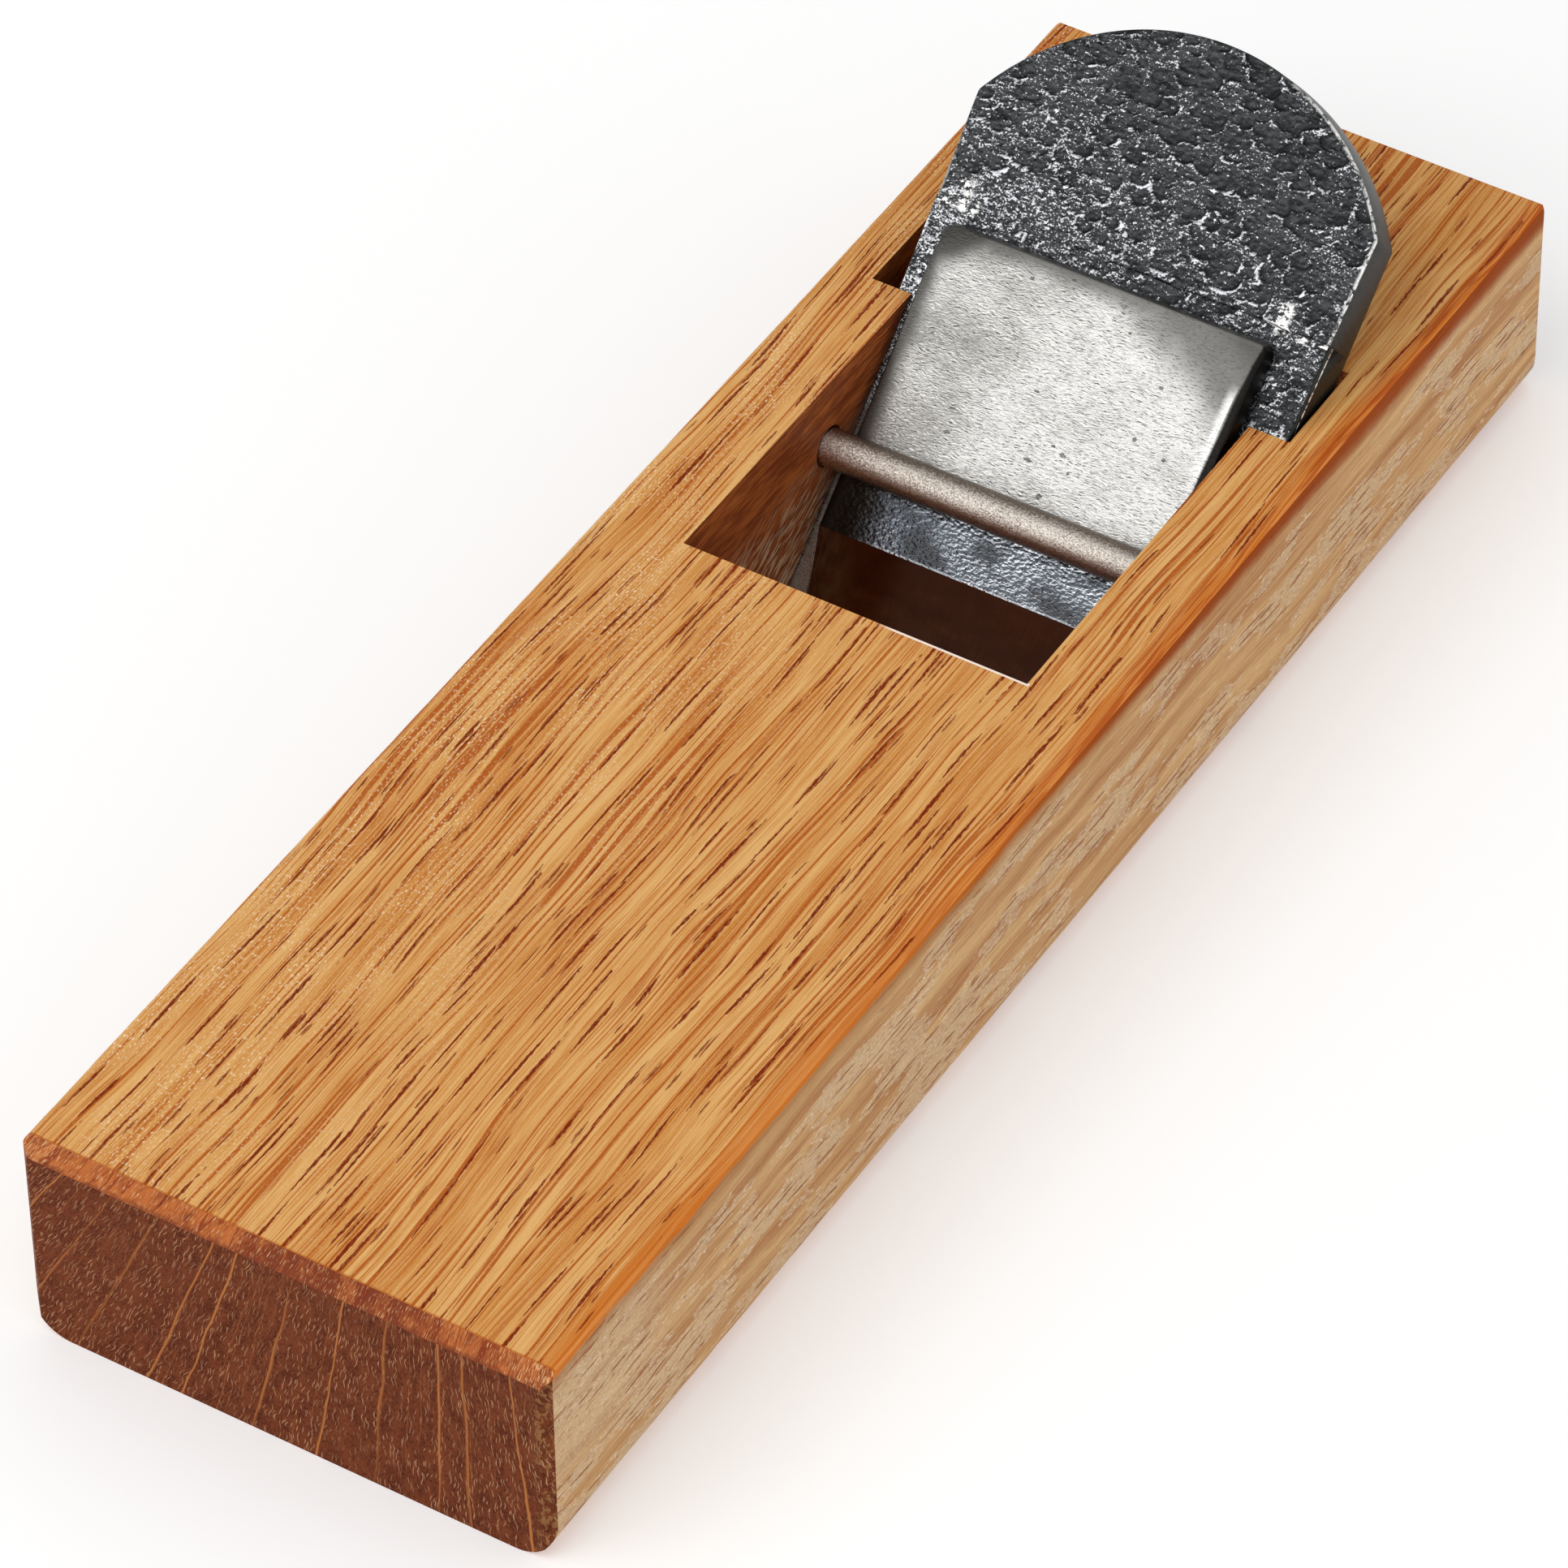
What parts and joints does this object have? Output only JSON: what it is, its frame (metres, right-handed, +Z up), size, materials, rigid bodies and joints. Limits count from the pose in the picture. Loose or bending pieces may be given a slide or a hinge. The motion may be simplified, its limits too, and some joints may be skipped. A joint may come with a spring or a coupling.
{
  "type": "japanese hand plane",
  "caption": "Small wooden pull plane: a low oak block with a leaning laminated blade wedged in its slot, a chip breaker on the blade and a steel cross pin over them.",
  "frame": {"origin": "middle of the sole, so the sole is z = 0", "axes": "+Z up out of the block's top, +Y along the block towards the head end, over which the blade leans, +X to the right seen from the tail end"},
  "size_m": [0.07, 0.2296, 0.0575],
  "materials": {
    "oak": "oiled oak with open pores and a satin sheen",
    "forged_iron": "hammered dark forging scale",
    "hard_steel": "ground and honed",
    "ground_steel": "coarse ground face with a polished bevel",
    "pin_steel": "satin rod with a fine grain"
  },
  "bodies": {
    "block": {"plane_body": "oak", "cross_pin": "pin_steel"},
    "blade": {"blade_iron": "forged_iron", "blade_steel": "hard_steel"},
    "breaker": {"chip_breaker": "ground_steel"}
  },
  "joints": [
    {"name": "blade_slide", "type": "slide", "parent": "block", "child": "blade", "axis": [0, 0.7771, 0.6293], "range_m": [-0.001, 0.04]},
    {"name": "breaker_slide", "type": "slide", "parent": "blade", "child": "breaker", "axis": [0, 0.7547, 0.6561], "range_m": [-0.0005, 0.036]}
  ]
}
